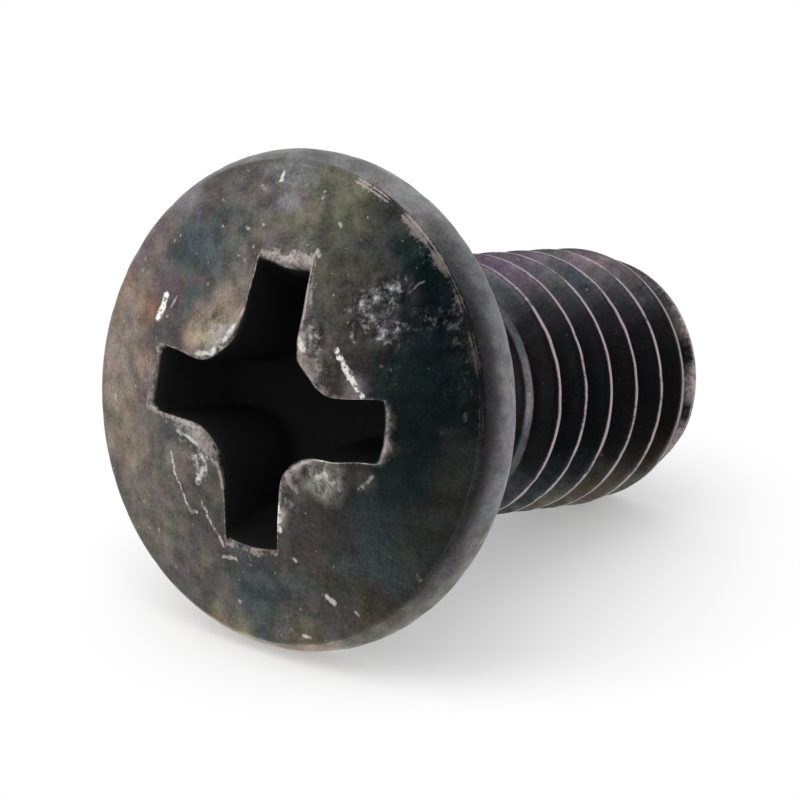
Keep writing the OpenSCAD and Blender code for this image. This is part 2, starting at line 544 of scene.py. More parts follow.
# One turn of the thread by spin, repeated down the shank, then every point set to the thread's form
def buildThread(bm, layers, sides):
    pitch = thread["pitch"]
    start = sides[0]["even"]
    bottom = math.ceil((-shankLength - crestHeight(start)) / pitch) - 2
    top = math.ceil((-thread["neck"] - crestHeight(start)) / pitch) + 1
    chain = []
    for row in range(thread["rows"] + 1):
        share = -1 + 2 * row / thread["rows"]
        gathered = 0.35 * share + 0.65 * math.copysign(abs(share) ** 1.6, share)   # closer at the crest
        height = crestHeight(start) + bottom * pitch + pitch / 2 * gathered
        chain.append(bm.verts.new(polar(threadRadius, start, height)))
    line = [bm.edges.new(pair) for pair in zip(chain, chain[1:])]
    before = set(bm.verts)
    bmesh.ops.spin(bm, geom=chain + line, cent=(0, 0, 0), axis=(0, 0, 1), angle=2 * math.pi,
                   steps=columns, dvec=(0, 0, pitch / columns), use_merge=False)
    verts = chain + [vert for vert in bm.verts if vert not in before]
    faces = list({face for vert in verts for face in vert.link_faces})
    strip = list(verts)
    for turn in range(bottom + 1, top + 1):
        copied = bmesh.ops.duplicate(bm, geom=verts + faces)["geom"]
        fresh = [item for item in copied if isinstance(item, bmesh.types.BMVert)]
        bmesh.ops.translate(bm, verts=fresh, vec=(0, 0, (turn - bottom) * pitch))
        strip += fresh
    for vert in strip:
        column = round((math.atan2(vert.co.y, vert.co.x) - start) / (2 * math.pi) * columns) % columns
        turn = sides[column]["even"]
        height = min(max(vert.co.z, -shankLength), -thread["neck"])
        vert.co = polar(threadReach(height, turn), turn, height)
        vert[layers["column"]] = column
        vert[layers["rubbed"]] = threadWearAndHighlight(vert.co, turn)
        for face in vert.link_faces:
            face.material_index = threadZone


# The end face, slightly hollow, from the open edge that the thread leaves
def closeTip(bm, layers, sides):
    ring = [edge for edge in bm.edges if len(edge.link_faces) == 1]
    tipRadius = threadRadius - thread["tipInset"]
    for share in (0.97, 0.9, 0.7, 0.45, 0.2):
        def onTip(column):
            dish = thread["tipDish"] * smoothStep((0.97 - share) * 3)
            return polar(tipRadius * share, sides[column]["even"], -shankLength + dish), 0
        ring = growRing(bm, ring, layers, threadZone, onTip)
    bmesh.ops.contextual_create(bm, geom=ring)


# Tints of the plating, and on the dome painted light and shade. Each patch: where, how wide in
# millimetres, its colour and its strength.
# On the head a place is right and up on its face; on the shank it is a turn in degrees and a height.
tarnish = {
    "dome": (0.10, 0.092, 0.085),
    "rim": (0.15, 0.148, 0.15),
    "shank": (0.09, 0.09, 0.096),
    "drift": 0.45,             # how far a patch's edge wanders, as a share of its size
    "seed": 2555,              # of that drift, so that every run gives the same one
}
noise.seed_set(tarnish["seed"])
domeTintsLightAndShade = [
    ((-2.45, 0.1), 0.8, (0.28, 0.23, 0.19), 0.85),
    ((-2.10, -0.8), 0.7, (0.25, 0.20, 0.155), 0.85),
    ((-1.45, -1.6), 0.7, (0.175, 0.145, 0.12), 0.75),
    ((-2.25, 1.25), 0.55, (0.22, 0.17, 0.165), 0.7),
    ((-2.48, 0.75), 0.40, (0.32, 0.22, 0.17), 0.75),
    ((-1.80, 1.95), 0.35, (0.24, 0.23, 0.24), 0.6),
    ((-1.92, 0.62), 0.28, (0.28, 0.15, 0.10), 0.7),
    ((-1.35, 1.45), 0.42, (0.058, 0.078, 0.09), 0.85),
    ((-0.95, 1.75), 0.35, (0.07, 0.075, 0.07), 0.7),
    ((-1.60, 0.95), 0.22, (0.12, 0.085, 0.10), 0.7),
    ((-1.20, 0.82), 0.24, (0.045, 0.068, 0.075), 0.8),
    ((-0.62, 0.95), 0.36, (0.33, 0.25, 0.20), 0.85),
    ((-1.00, 0.55), 0.34, (0.35, 0.275, 0.205), 0.85),
    ((-1.80, 0.02), 0.20, (0.36, 0.25, 0.21), 0.75),
    ((0.05, 2.05), 0.30, (0.16, 0.14, 0.10), 0.6),
    ((-0.30, 2.50), 0.40, (0.20, 0.20, 0.21), 0.7),
    ((0.40, 2.35), 0.50, (0.12, 0.12, 0.085), 0.7),
    ((0.60, 1.75), 0.50, (0.068, 0.072, 0.05), 0.75),
    ((1.05, 2.05), 0.35, (0.05, 0.06, 0.056), 0.7),
    # Painted shade: makes the dome's upper right near black, as it reflects the dark side, with a dark
    # blue tint
    ((1.98, 1.38), 0.80, (0.016, 0.028, 0.038), 0.95),
    ((2.00, 0.45), 0.75, (0.042, 0.088, 0.095), 0.85),
    ((1.85, -0.48), 0.55, (0.075, 0.145, 0.145), 0.8),
    # Painted light: lightens the dome's lower right, where it reflects the dark side
    ((1.80, -1.15), 0.62, (0.15, 0.205, 0.21), 0.8),
    ((0.20, -2.10), 0.65, (0.055, 0.072, 0.078), 0.8),
    ((0.97, -0.60), 0.28, (0.66, 0.64, 0.56), 0.85),
    ((0.43, -1.08), 0.16, (0.55, 0.51, 0.44), 0.8),
    ((-1.10, -0.88), 0.20, (0.28, 0.24, 0.22), 0.6),
    ((-0.50, 1.08), 0.20, (0.09, 0.085, 0.078), 0.8),
    ((-0.45, 0.48), 0.16, (0.75, 0.66, 0.56), 0.8),
    ((-0.04, 1.50), 0.12, (0.17, 0.15, 0.14), 0.7),
    ((0.42, 0.78), 0.17, (0.42, 0.37, 0.35), 0.8),
    ((1.18, 0.44), 0.22, (0.60, 0.55, 0.53), 0.85),
    # Painted shade: these three make the top and upper right near black, where the dome reflects the dark
    # side
    ((0.90, 2.46), 0.32, (0.035, 0.037, 0.034), 0.85),
    ((1.42, 1.98), 0.32, (0.014, 0.040, 0.040), 0.85),
    ((1.68, 1.84), 0.24, (0.007, 0.024, 0.024), 0.9),
    ((1.62, -0.08), 0.13, (0.30, 0.25, 0.27), 0.8),
    ((2.46, -0.12), 0.42, (0.24, 0.27, 0.25), 0.85),
    ((2.18, 0.98), 0.22, (0.07, 0.09, 0.095), 0.6),
    ((2.22, 1.30), 0.24, (0.08, 0.09, 0.08), 0.6),
    ((1.42, -0.50), 0.16, (0.30, 0.28, 0.28), 0.75),
    # Painted light: these two lighten the dome's lower right, where it reflects the dark side
    ((2.20, -1.05), 0.50, (0.18, 0.19, 0.175), 0.8),
    ((2.45, -0.72), 0.28, (0.24, 0.25, 0.23), 0.8),
    ((1.15, -0.34), 0.12, (0.06, 0.06, 0.05), 0.6),
    ((-0.80, -1.25), 0.25, (0.08, 0.07, 0.062), 0.7),
    ((1.70, -2.05), 0.40, (0.12, 0.105, 0.08), 0.6),
    ((0.70, -2.50), 0.40, (0.15, 0.13, 0.10), 0.7),
    ((-0.30, -2.60), 0.35, (0.24, 0.20, 0.14), 0.7),
]
rimPatches = [
    ((72, 0.3), 0.7, (0.25, 0.25, 0.25), 0.8),
    ((112, 0.4), 0.9, (0.20, 0.20, 0.20), 0.7),
    ((42, 0.3), 0.7, (0.13, 0.135, 0.14), 0.7),
    ((8, 0.3), 1.0, (0.20, 0.195, 0.21), 0.7),
    ((-50, 0.3), 1.0, (0.13, 0.12, 0.09), 0.8),
    ((-100, 0.3), 1.2, (0.38, 0.30, 0.20), 0.8),
    ((-72, 0.45), 0.5, (0.34, 0.27, 0.19), 0.7),
    ((180, 0.3), 1.6, (0.20, 0.17, 0.14), 0.7),
]
shankPatches = [
    ((86, -2.8), 0.6, (0.11, 0.076, 0.112), 0.85),
    ((92, -3.6), 0.5, (0.11, 0.09, 0.12), 0.7),
    ((70, -3.8), 0.4, (0.045, 0.065, 0.08), 0.7),
    ((80, -4.6), 0.5, (0.16, 0.115, 0.135), 0.7),
    ((-30, -3.1), 0.8, (0.034, 0.06, 0.054), 0.8),
    ((-44, -3.8), 0.4, (0.11, 0.10, 0.075), 0.8),
    ((-75, -3.0), 0.6, (0.055, 0.055, 0.03), 0.7),
    ((12, -1.85), 0.45, (0.20, 0.18, 0.19), 0.8),
    ((-60, -4.3), 0.6, (0.07, 0.06, 0.035), 0.75),
    ((-30, -4.8), 0.5, (0.10, 0.08, 0.045), 0.7),
    ((180, -3.0), 1.4, (0.08, 0.07, 0.085), 0.6),
]
# Dust and grime that dull the metal: turn in degrees and height on the shank, how wide, and how much
grimePatches = [
    ((8, -5.35), 0.30, 0.7),
    ((-25, -5.25), 0.34, 0.8),
    ((40, -5.35), 0.30, 0.6),
    ((-60, -4.6), 0.55, 0.6),
    ((-62, -3.6), 0.40, 0.5),
]
grimeTint = (0.16, 0.135, 0.092)


def onHead(spot):
    return Vector((*spot, domeHeight(math.hypot(*spot))))


def onRimSide(spot):
    return polar(headRadius, math.radians(spot[0]), spot[1])


def onShank(spot):
    return polar(threadRadius - 0.1, math.radians(spot[0]), spot[1])


def nearness(place, centre, size):
    return smoothStep(1.3 - (place - centre).length / size)


def tintAt(place, base, patches):
    wide = noise.noise_vector(place * 2.6) * tarnish["drift"]
    fine = noise.noise_vector(place * 9) * tarnish["drift"] / 2
    colour = Vector(base)
    for centre, size, tint, strength in patches:
        moved = place + (wide + fine) * size
        colour = colour.lerp(Vector(tint), nearness(moved, centre, size) * strength)
    return colour


# Every vertex gets a tint, with the dome's painted light and shade, and how much it is scuffed and dulled
# by grime
def paintScrew(bm, layers):
    zones = {
        "dome": [(onHead(spot), *rest) for spot, *rest in domeTintsLightAndShade],
        "rim": [(onRimSide(spot), *rest) for spot, *rest in rimPatches],
        "shank": [(onShank(spot), *rest) for spot, *rest in shankPatches],
    }
    scuffed = [(onHead(spot), size, amount) for spot, size, amount in scuffs]
    grimy = [(onShank(spot), size, amount) for spot, size, amount in grimePatches]
    for vert in bm.verts:
        zone = "shank"
        if vert.co.z > head["rimHeight"] - 0.02:
            zone = "dome"
        elif vert.co.z > -0.03 and vert.co.xy.length > 1.6:      # outside the neck's fillet
            zone = "rim"
        tint = tintAt(vert.co, tarnish[zone], zones[zone])
        dull = 0
        if zone == "dome":
            vert[layers["scuffed"]] = min(sum(
                nearness(vert.co, centre, size) * amount for centre, size, amount in scuffed), 1)
        if zone == "shank":
            dull = min(sum(nearness(vert.co, centre, size) * amount for centre, size, amount in grimy), 1)
            dull *= blend(0.7, 1.2, noise.noise(vert.co * 4) + 0.5)
            tint = tint.lerp(Vector(grimeTint), min(dull, 1))
        vert[layers["grime"]] = min(dull, 1)
        vert[layers["tarnish"]] = (*tint, 1)


def buildScrew():
    bm = bmesh.new()
    layers = {"column": bm.verts.layers.int.new("column")}
    layers["tarnish"] = bm.verts.layers.float_color.new("tarnish")
    for name in ("rubbed", "scuffed", "grime"):
        layers[name] = bm.verts.layers.float.new(name)
    sides = recessColumns()
    ring = buildRecess(bm, layers, sides)
    print("recess and lips:", len(bm.verts), "vertices")
    ring = buildDome(bm, layers, sides, ring)
    buildRim(bm, layers, sides, ring)
    print("head:", len(bm.verts), "vertices")
    buildThread(bm, layers, sides)
    bmesh.ops.remove_doubles(bm, verts=bm.verts, dist=0.0002)
    closeTip(bm, layers, sides)
    bmesh.ops.dissolve_degenerate(bm, dist=0.0001, edges=bm.edges)
    bmesh.ops.recalc_face_normals(bm, faces=bm.faces)
    print("thread and tip:", len(bm.verts), "vertices")
    paintScrew(bm, layers)
    print("tints painted")
    bmesh.ops.transform(bm, matrix=layingMatrix(), verts=bm.verts)
    print("open edges:", sum(len(edge.link_faces) != 2 for edge in bm.edges))
    for face in bm.faces:
        face.smooth = True
    mesh = bpy.data.meshes.new("machineScrew")
    bm.to_mesh(mesh)
    bm.free()
    return addObject("machineScrew", mesh)


screw = buildScrew()
low = [min(vert.co[axis] for vert in screw.data.vertices) for axis in range(3)]
high = [max(vert.co[axis] for vert in screw.data.vertices) for axis in range(3)]
print("screw box in mm:", [round(value / mm, 3) for value in low + high])


# Shader helpers: a node with its values and links, and the sums that the groups use
def addNode(tree, kind, inputs=None, **settings):
    node = tree.nodes.new("ShaderNode" + kind)
    for name, value in settings.items():
        setattr(node, name, value)
    for name, value in (inputs or {}).items():
        if isinstance(value, bpy.types.NodeSocket):
            tree.links.new(value, node.inputs[name])
        else:
            node.inputs[name].default_value = value
    return node


def scalar(tree, operation, first, second, clamp=False):
    return addNode(tree, "Math", {0: first, 1: second}, operation=operation, use_clamp=clamp).outputs[0]


def vector(tree, operation, first, second, output="Vector"):
    return addNode(tree, "VectorMath", {0: first, 1: second}, operation=operation).outputs[output]


def ramp(tree, value, start, end, low=0.0, high=1.0):
    inputs = {"Value": value, "From Min": start, "From Max": end, "To Min": low, "To Max": high}
    return addNode(tree, "MapRange", inputs, interpolation_type="SMOOTHSTEP").outputs[0]


def grain(tree, place, scale, detail, output="Fac", roughness=0.5):
    inputs = {"Vector": place, "Scale": scale, "Detail": detail, "Roughness": roughness}
    return addNode(tree, "TexNoise", inputs).outputs[output]


# A colour noise that goes as far below nothing as above it
def drift(tree, place, scale, detail):
    return vector(tree, "SUBTRACT", grain(tree, place, scale, detail, "Color"), (0.5, 0.5, 0.5))


# A place that is shifted a little each way, which makes outlines ragged
def ragged(tree, place, scale, reach):
    shift = vector(tree, "MULTIPLY", drift(tree, place, scale, 2), (reach, reach, reach))
    return vector(tree, "ADD", place, shift)


def scaled(tree, value, amount):
    return addNode(tree, "VectorMath", {0: value, 3: amount}, operation="SCALE").outputs[0]


def mixColour(tree, share, first, second):
    return addNode(tree, "Mix", {0: share, 6: first, 7: second}, data_type="RGBA").outputs[2]


def newGroup(name, inputs, outputs):
    group = bpy.data.node_groups.new(name, "ShaderNodeTree")
    kinds = {"colour": "NodeSocketColor", "vector": "NodeSocketVector", "value": "NodeSocketFloat"}
    for title, kind in inputs.items():
        group.interface.new_socket(name=title, in_out="INPUT", socket_type=kinds[kind])
    for title, kind in outputs.items():
        group.interface.new_socket(name=title, in_out="OUTPUT", socket_type=kinds[kind])
    return group, group.nodes.new("NodeGroupInput").outputs, group.nodes.new("NodeGroupOutput").inputs


def useGroup(tree, group, inputs):
    return addNode(tree, "Group", inputs, node_tree=group).outputs


# Uneven plating: blotches, grain and a drift of hue over a given colour
def unevenPlating():
    group, given, made = newGroup("unevenPlating", {
        "Color": "colour", "Vector": "vector", "Blotches": "value", "Grain": "value", "Hue": "value"},
        {"Color": "colour", "Sheen": "value"})
    blotch = ramp(group, grain(group, given["Vector"], 5, 5), 0.3, 0.7, -1, 1)
    fine = ramp(group, grain(group, given["Vector"], 26, 4, roughness=0.75), 0.32, 0.68, -1, 1)
    blotched = scalar(group, "MULTIPLY", blotch, given["Blotches"])
    grained = scalar(group, "MULTIPLY", fine, given["Grain"])
    tone = scalar(group, "ADD", scalar(group, "ADD", blotched, grained), 1.0)
    grey = addNode(group, "CombineXYZ", {0: tone, 1: tone, 2: tone}).outputs[0]
    level = vector(group, "ADD", grey, scaled(group, drift(group, given["Vector"], 4, 4), given["Hue"]))
    level = vector(group, "MAXIMUM", level, (0.05, 0.05, 0.05))
    group.links.new(vector(group, "MULTIPLY", given["Color"], level), made["Color"])
    group.links.new(blotch, made["Sheen"])
    return group


# Scuffed metal: ragged bright flecks, denser where the surface is scuffed more
def scuffedMetal():
    group, given, made = newGroup("scuffedMetal", {
        "Vector": "vector", "Amount": "value", "Scale": "value"}, {"Mask": "value", "Fleck": "value"})
    rough = grain(group, given["Vector"], given["Scale"], 6, roughness=0.7)
    level = scalar(group, "ADD", rough, scalar(group, "MULTIPLY", given["Amount"], 0.24))
    group.links.new(ramp(group, level, 0.69, 0.78), made["Mask"])
    group.links.new(ramp(group, level, 0.80, 0.86), made["Fleck"])
    return group


# A short stroke between two points of the surface
def fineStroke():
    group, given, made = newGroup("fineStroke", {
        "Vector": "vector", "Start": "vector", "End": "vector", "Width": "value"}, {"Mask": "value"})
    reach = vector(group, "SUBTRACT", given["Vector"], given["Start"])
    line = vector(group, "SUBTRACT", given["End"], given["Start"])
    walked = vector(group, "DOT_PRODUCT", reach, line, "Value")
    whole = vector(group, "DOT_PRODUCT", line, line, "Value")
    nearest = scaled(group, line, scalar(group, "DIVIDE", walked, whole, clamp=True))
    away = vector(group, "DISTANCE", reach, nearest, "Value")
    group.links.new(ramp(group, scalar(group, "DIVIDE", away, given["Width"]), 0.62, 0.28), made["Mask"])
    return group


# Scattered light specks of many sizes
def lightSpecks():
    group, given, made = newGroup("lightSpecks", {
        "Vector": "vector", "Scale": "value", "Size": "value", "Share": "value"}, {"Mask": "value"})
    jagged = ragged(group, given["Vector"], 30, 0.05)
    cells = addNode(group, "TexVoronoi", {"Vector": jagged, "Scale": given["Scale"]}).outputs
    chance = addNode(group, "SeparateColor", {0: cells["Color"]}).outputs
    picked = scalar(group, "LESS_THAN", chance[0], given["Share"])
    size = scalar(group, "MULTIPLY", given["Size"], chance[1])
    away = scalar(group, "DIVIDE", cells["Distance"], scalar(group, "ADD", size, 0.01))
    mask = scalar(group, "MULTIPLY", ramp(group, away, 1.0, 0.5), picked)
    group.links.new(mask, made["Mask"])
    return group


# Breaks an even mask into the patchy line of a worn edge and of a painted highlight
def rubbedEdge():
    group, given, made = newGroup("rubbedEdge", {
        "Vector": "vector", "Amount": "value", "Scale": "value"}, {"Mask": "value"})
    rough = grain(group, given["Vector"], given["Scale"], 5, roughness=0.75)
    level = scalar(group, "ADD", scalar(group, "MULTIPLY", given["Amount"], 0.75), rough)
    group.links.new(ramp(group, level, 0.76, 0.98), made["Mask"])
    return group


groupMakers = (unevenPlating, scuffedMetal, fineStroke, lightSpecks, rubbedEdge)
groups = {make.__name__: make() for make in groupMakers}


# A material that knows the upright screw's own millimetres
def startMaterial(name):
    material = bpy.data.materials.new(name)
    material.use_nodes = True
    tree = material.node_tree
    shader = tree.nodes["Principled BSDF"]
    laid = layingMatrix()
    inputs = {"Vector": addNode(tree, "TexCoord").outputs["Object"], "Location": laid.to_translation(),
              "Rotation": laid.to_euler(), "Scale": (mm, mm, mm)}
    place = addNode(tree, "Mapping", inputs, vector_type="TEXTURE").outputs[0]
    return material, tree, shader, place


plating = {
    # Colour of worn metal, also painted on the dome's and rim's edges as highlights
    "worn": (0.38, 0.33, 0.31, 1),
    "bright": (0.95, 0.92, 0.86, 1),
    "scuff": (0.36, 0.35, 0.37, 1),
    "fleck": (0.74, 0.72, 0.72, 1),
    "largeSpecks": 0.7,        # how light the specks are
    "smallSpecks": 0.85,
    "bump": 0.5,
}
# How the finishes of the plating differ: strengths of its blotches, grain, drift of hue and specks, its
# worn edges and painted highlights, its roughness where it is dull and where it shines, and how tall its
# grain is
domeFinish = {
    "blotches": 0.22,
    "grain": 0.24,
    "hue": 0.5,
    "specks": 0.6,
    "worn": plating["worn"],
    "dull": 0.40,
    "shiny": 0.29,
    "relief": 0.006,
    "edgeTint": (0.78, 0.82, 0.86, 1),
}
rimFinish = {
    "blotches": 0.16,
    "grain": 0.20,
    "hue": 0.35,
    "specks": 0.45,
    "worn": plating["worn"],
    "dull": 0.5,
    "shiny": 0.4,
    "relief": 0.005,
}
threadFinish = {
    "blotches": 0.16,
    "grain": 0.22,
    "hue": 0.5,
    "specks": 0.5,
    # Colour of the crests, worn metal and painted highlight
    "worn": (0.44, 0.36, 0.38, 1),
    "dull": 0.40,
    "shiny": 0.32,
    "relief": 0.004,
    "edgeTint": (0.44, 0.46, 0.49, 1),
    "grimeRoughness": 0.25,    # what thick grime adds
}
# Painted shade that makes the recess near black; it hardly reflects
recessFinish = {
    "deep": (0.0062, 0.0066, 0.0072, 1),
    "dusty": (0.0115, 0.011, 0.0105, 1),
    "lip": (0.05, 0.042, 0.03, 1),
    "smooth": 0.65,
    "rough": 0.8,
    "gleam": 0.03,
    "relief": 0.006,
}
# Scratches of the head's face, and two painted highlights: from, to, width in millimetres, and how bright
domeScratchesAndHighlights = [
    ((-1.67, 0.83), (-1.68, 0.69), 0.10, 1.0),
    ((-1.68, 0.69), (-1.73, 0.57), 0.11, 1.0),
    ((-1.48, 0.85), (-1.54, 0.72), 0.04, 0.31),
    ((-0.47, 2.45), (-0.46, 2.36), 0.05, 0.56),
    ((-0.70, 2.25), (-0.63, 2.23), 0.05, 0.31),
    ((0.47, 2.09), (0.50, 2.07), 0.04, 0.31),
    ((0.31, 1.76), (0.36, 1.71), 0.05, 0.37),
    ((-0.72, 1.80), (-0.68, 1.78), 0.04, 0.37),
    ((0.86, 0.80), (1.01, 0.65), 0.07, 1.0),
    ((1.01, 0.65), (1.13, 0.52), 0.09, 1.05),
    ((1.13, 0.52), (1.27, 0.40), 0.08, 1.05),
    ((0.40, -1.02), (0.43, -1.20), 0.09, 0.9),
    ((1.47, 1.53), (1.63, 1.71), 0.03, 0.31),
    ((1.00, 1.00), (1.04, 0.93), 0.05, 0.43),
    ((1.22, 1.21), (1.27, 1.14), 0.06, 0.5),
    ((1.36, 1.64), (1.40, 1.56), 0.05, 0.37),
    ((-1.19, -0.84), (-1.14, -1.01), 0.035, 0.56),
    ((-1.14, -1.01), (-1.05, -1.14), 0.035, 0.56),
    ((-1.05, -1.14), (-0.94, -1.32), 0.035, 0.56),
    ((-0.94, -1.32), (-0.84, -1.43), 0.04, 0.56),
    ((-0.84, -1.43), (-0.76, -1.40), 0.04, 0.56),
    ((-0.68, -1.27), (-0.59, -1.36), 0.035, 0.43),
    ((-0.59, -1.40), (-0.40, -1.58), 0.04, 0.43),
    ((-0.40, -1.58), (-0.34, -1.68), 0.05, 0.43),
    ((-1.12, -0.57), (-0.95, -0.59), 0.05, 0.5),
    ((-0.95, -0.59), (-0.80, -0.63), 0.06, 0.56),
    # Painted highlight: these two wide white strokes light the crumpled metal at the lower left
    ((-0.74, -0.75), (-0.66, -0.90), 0.09, 0.7),
    ((-0.71, -0.89), (-0.76, -1.04), 0.11, 0.8),
    ((0.42, -1.08), (0.45, -1.29), 0.08, 0.8),
    ((1.06, -1.90), (1.14, -1.96), 0.06, 0.62),
    ((1.39, -1.99), (1.43, -2.02), 0.04, 0.5),
    ((0.73, -2.44), (0.81, -2.44), 0.05, 0.56),
    ((0.63, -1.58), (0.67, -1.59), 0.05, 0.56),
    ((-0.34, -1.80), (-0.16, -1.78), 0.05, 0.37),
    ((1.53, -0.44), (1.41, -0.60), 0.06, 0.55),
    ((-1.00, 0.34), (-0.80, 0.38), 0.06, 0.5),
    ((-0.80, 0.38), (-0.66, 0.48), 0.08, 0.7),
    ((-0.66, 0.48), (-0.56, 0.64), 0.08, 0.75),
    ((-0.56, 0.64), (-0.52, 0.76), 0.06, 0.6),
    ((0.36, 0.80), (0.46, 0.72), 0.09, 0.6),
    ((-0.84, -0.78), (-0.79, -0.96), 0.09, 0.55),
    ((0.86, -0.62), (0.98, -0.55), 0.08, 0.55),
    ((1.02, -0.60), (1.16, -0.66), 0.08, 0.5),
    ((2.42, 0.44), (2.41, 0.37), 0.05, 0.3),
    ((2.10, -1.40), (2.14, -1.45), 0.05, 0.35),
    ((-0.15, -2.25), (-0.12, -2.28), 0.04, 0.35),
    ((-2.30, -0.45), (-2.28, -0.50), 0.04, 0.35),
]
# Scratches of the shank, the same way, at a turn in degrees and a height
shankScratches = [
    ((55.5, -2.38), (58.3, -2.53), 0.05, 0.45),
    ((16.3, -2.48), (13.5, -2.50), 0.05, 0.45),
    ((13.3, -3.43), (17.2, -3.54), 0.05, 0.45),
    ((29.6, -4.44), (32.3, -4.55), 0.05, 0.45),
    ((34.9, -5.24), (36.9, -5.31), 0.05, 0.45),
    ((37.8, -4.37), (35.7, -4.37), 0.04, 0.4),
    ((21.2, -4.52), (18.3, -4.57), 0.06, 0.45),
    ((-27.1, -4.10), (-30.3, -4.28), 0.06, 0.4),
    ((-34.3, -2.56), (-36.8, -2.66), 0.05, 0.35),
    ((44.5, -4.97), (42.9, -4.98), 0.05, 0.35),
    ((35.9, -1.65), (34.3, -1.72), 0.04, 0.2),
]


def painted(tree, name, output="Fac"):
    return addNode(tree, "Attribute", attribute_name=name).outputs[output]


# What the three plated finishes share: the painted tint with its painted light and shade, blotches, worn
# edges with painted highlights, and specks
def platedLook(tree, place, finish):
    uneven = useGroup(tree, groups["unevenPlating"], {
        "Color": painted(tree, "tarnish", "Color"), "Vector": place,
        "Blotches": finish["blotches"], "Grain": finish["grain"], "Hue": finish["hue"]})
    rubbed = useGroup(tree, groups["rubbedEdge"], {
        "Vector": place, "Amount": painted(tree, "rubbed"), "Scale": 16})["Mask"]
    colour = mixColour(tree, rubbed, uneven["Color"], finish["worn"])
    large = useGroup(tree, groups["lightSpecks"], {
        "Vector": place, "Scale": 3.4, "Size": 0.11, "Share": finish["specks"]})["Mask"]
    small = useGroup(tree, groups["lightSpecks"], {
        "Vector": place, "Scale": 8.0, "Size": 0.18, "Share": finish["specks"]})["Mask"]
    large = scalar(tree, "MULTIPLY", large, plating["largeSpecks"])
    small = scalar(tree, "MULTIPLY", small, plating["smallSpecks"])
    colour = mixColour(tree, scalar(tree, "MAXIMUM", large, small), colour, plating["worn"])
    return colour, ramp(tree, uneven["Sheen"], -1, 1, finish["dull"], finish["shiny"])


def finishShader(tree, shader, colour, roughness, height, finish):
    tree.links.new(colour, shader.inputs["Base Color"])
    tree.links.new(roughness, shader.inputs["Roughness"])
    distance = finish["relief"] * mm
    bump = addNode(tree, "Bump", {"Strength": plating["bump"], "Distance": distance, "Height": height})
    tree.links.new(bump.outputs[0], shader.inputs["Normal"])


# Broken bright strokes, scratches and the dome's painted highlights: spot turns each end of a stroke into
# a point of the surface
def brightStrokes(tree, place, scratches, spot):
    jagged = ragged(tree, place, 14, 0.06)
    marks = None
    for start, end, width, bright in scratches:
        mask = useGroup(tree, groups["fineStroke"], {
            "Vector": jagged, "Start": spot(start), "End": spot(end), "Width": width})["Mask"]
        mask = scalar(tree, "MULTIPLY", mask, bright)
        marks = mask if marks is None else scalar(tree, "MAXIMUM", marks, mask)
    return scalar(tree, "MULTIPLY", marks, ramp(tree, grain(tree, place, 18, 4), 0.38, 0.55, 0.25, 1))


def domeMaterial():
    material, tree, shader, place = startMaterial("platedDome")
    colour, roughness = platedLook(tree, place, domeFinish)
    scuffed = useGroup(tree, groups["scuffedMetal"], {
        "Vector": place, "Amount": painted(tree, "scuffed"), "Scale": 11})
    colour = mixColour(tree, scalar(tree, "MULTIPLY", scuffed["Mask"], 0.6), colour, plating["scuff"])
    colour = mixColour(tree, scalar(tree, "MULTIPLY", scuffed["Fleck"], 0.65), colour, plating["fleck"])
    marks = brightStrokes(tree, place, domeScratchesAndHighlights, onHead)
    colour = mixColour(tree, marks, colour, plating["bright"])
    tree.links.new(ramp(tree, marks, 0.2, 1.0, 1.0, 0.45), shader.inputs["Metallic"])
    shader.inputs["Specular Tint"].default_value = domeFinish["edgeTint"]
    taller = ramp(tree, painted(tree, "scuffed"), 0, 1, 0.8, 3.2)
    height = scalar(tree, "MULTIPLY", grain(tree, place, 12, 5), taller)
    finishShader(tree, shader, colour, roughness, height, domeFinish)
    return material


def rimMaterial():
    material, tree, shader, place = startMaterial("platedRim")
    colour, roughness = platedLook(tree, place, rimFinish)
    shader.inputs["Metallic"].default_value = 1.0
    finishShader(tree, shader, colour, roughness, grain(tree, place, 12, 3), rimFinish)
    return material


def recessMaterial():
    material, tree, shader, place = startMaterial("recessGrime")
    # The recess is painted near black, as the shade in its hollow
    dark = mixColour(tree, grain(tree, place, 6, 3), recessFinish["deep"], recessFinish["dusty"])
    lip = ramp(tree, painted(tree, "rubbed"), 0.1, 0.7)
    colour = mixColour(tree, lip, dark, recessFinish["lip"])
    smooth, rough = recessFinish["smooth"], recessFinish["rough"]
    roughness = ramp(tree, grain(tree, place, 9, 3), 0.3, 0.7, smooth, rough)
    shader.inputs["Specular IOR Level"].default_value = recessFinish["gleam"]
    finishShader(tree, shader, colour, roughness, grain(tree, place, 10, 3), recessFinish)
    return material


def threadMaterial():
    material, tree, shader, place = startMaterial("platedThread")
    colour, roughness = platedLook(tree, place, threadFinish)
    colour = mixColour(tree, brightStrokes(tree, place, shankScratches, onShank), colour, plating["bright"])
    grime = painted(tree, "grime")
    dulled = scalar(tree, "MULTIPLY", grime, threadFinish["grimeRoughness"])
    roughness = scalar(tree, "ADD", roughness, dulled)
    tree.links.new(ramp(tree, grime, 0.05, 0.75, 1.0, 0.1), shader.inputs["Metallic"])
    shader.inputs["Specular Tint"].default_value = threadFinish["edgeTint"]
    finishShader(tree, shader, colour, roughness, grain(tree, place, 12, 3), threadFinish)
    return material


for makeMaterial in (domeMaterial, rimMaterial, recessMaterial, threadMaterial):
    screw.data.materials.append(makeMaterial())
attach(screw, "root")
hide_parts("screw")
print("screw finished:", len(screw.data.polygons), "faces")

